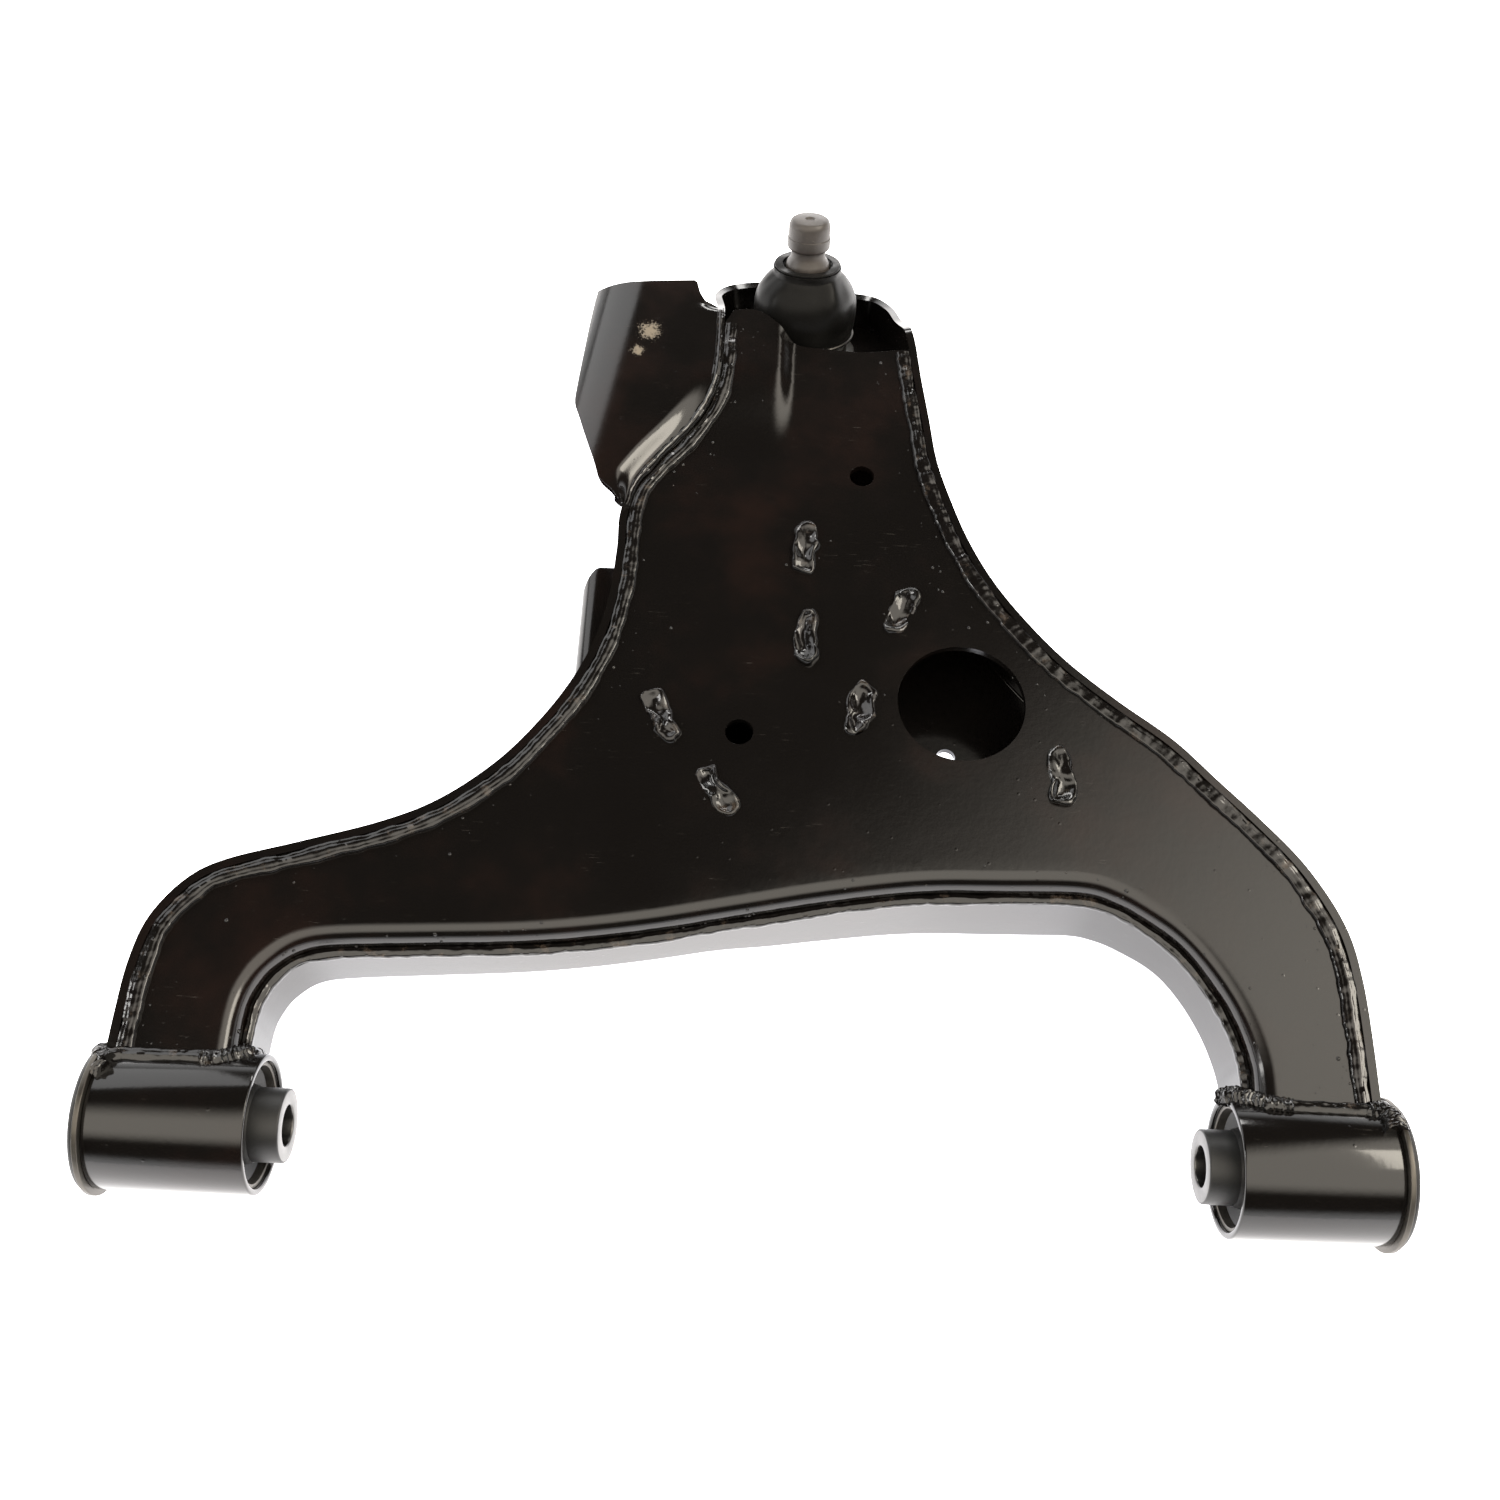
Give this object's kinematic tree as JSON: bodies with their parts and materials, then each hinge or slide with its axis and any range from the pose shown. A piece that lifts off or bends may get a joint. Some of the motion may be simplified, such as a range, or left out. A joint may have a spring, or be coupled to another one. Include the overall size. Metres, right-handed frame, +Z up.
{
  "type": "lower control arm",
  "caption": "Welded two-shell lower control arm with two rubber pivot bushings, a stop pad, a damper clevis and a pinch-stud ball joint.",
  "frame": {"origin": "centre of the front pivot bushing's bolt bore, on the pivot axis", "axes": "+X along the pivot axis to the rear bushing, +Y outboard to the ball joint, +Z up, normal to the deck on the stud's side"},
  "size_m": [0.594, 0.545, 0.1447],
  "materials": {
    "black_paint": "gloss black dip coat",
    "painted_weld": "gloss black dip coat over rippled weld bead",
    "sleeve_steel": "faced ends, dark moulded skin outside",
    "flange_steel": "dull oiled steel",
    "bushing_rubber": "moulded black",
    "boot_rubber": "satin moulded rubber",
    "housing_steel": "phosphated and oiled",
    "stud_steel": "satin phosphate",
    "spring_steel": "blackened spring steel",
    "race_polymer": "natural acetal"
  },
  "bodies": {
    "frame_sleeves": {"front_inner_sleeve": "sleeve_steel", "rear_inner_sleeve": "sleeve_steel"},
    "arm": {"front_bushing_rubber": "bushing_rubber", "rear_bushing_rubber": "bushing_rubber", "front_outer_sleeve": "flange_steel", "rear_outer_sleeve": "flange_steel", "front_bushing_tube": "black_paint", "rear_bushing_tube": "black_paint", "lower_shell": "black_paint", "upper_shell": "black_paint", "stop_pad": "black_paint", "damper_bracket": "black_paint", "centre_rib": "black_paint", "hole_rib": "black_paint", "front_rib": "black_paint", "rear_rib": "black_paint", "plug_welds": "painted_weld", "front_seam_weld": "painted_weld", "rear_seam_weld": "painted_weld", "arch_seam_weld": "painted_weld", "tube_welds": "painted_weld", "stop_pad_weld": "painted_weld", "bracket_weld": "painted_weld", "ball_joint_housing": "housing_steel", "bearing_race": "race_polymer", "pressure_cup": "race_polymer", "preload_spring": "spring_steel", "cover_plate": "housing_steel", "retaining_ring": "spring_steel", "boot_clamp_ring": "spring_steel", "dust_boot": "boot_rubber"},
    "stud_swing": {"floating_seat": "race_polymer"},
    "stud_rock": {"boot_lip_ring": "boot_rubber"},
    "stud": {"ball_stud": "stud_steel"}
  },
  "joints": [
    {"name": "arm_pivot", "type": "hinge", "parent": "frame_sleeves", "child": "arm", "pos_m": [0, 0, 0], "axis": [1, 0, 0], "range_deg": [-20, 20], "stiffness_Nm_per_rad": 260},
    {"name": "stud_swing", "type": "hinge", "parent": "arm", "child": "stud_swing", "pos_m": [0.266, 0.46654, -0.01538], "axis": [1, 0, 0], "range_deg": [-20, 20], "deforming": ["dust_boot"]},
    {"name": "stud_rock", "type": "hinge", "parent": "stud_swing", "child": "stud_rock", "pos_m": [0.266, 0.46654, -0.01538], "axis": [0, 0.91, -0.4147], "range_deg": [-10, 10]},
    {"name": "stud_spin", "type": "hinge", "parent": "stud_rock", "child": "stud", "pos_m": [0.266, 0.46654, -0.01538], "axis": [0, 0.4147, 0.91], "continuous": true}
  ]
}
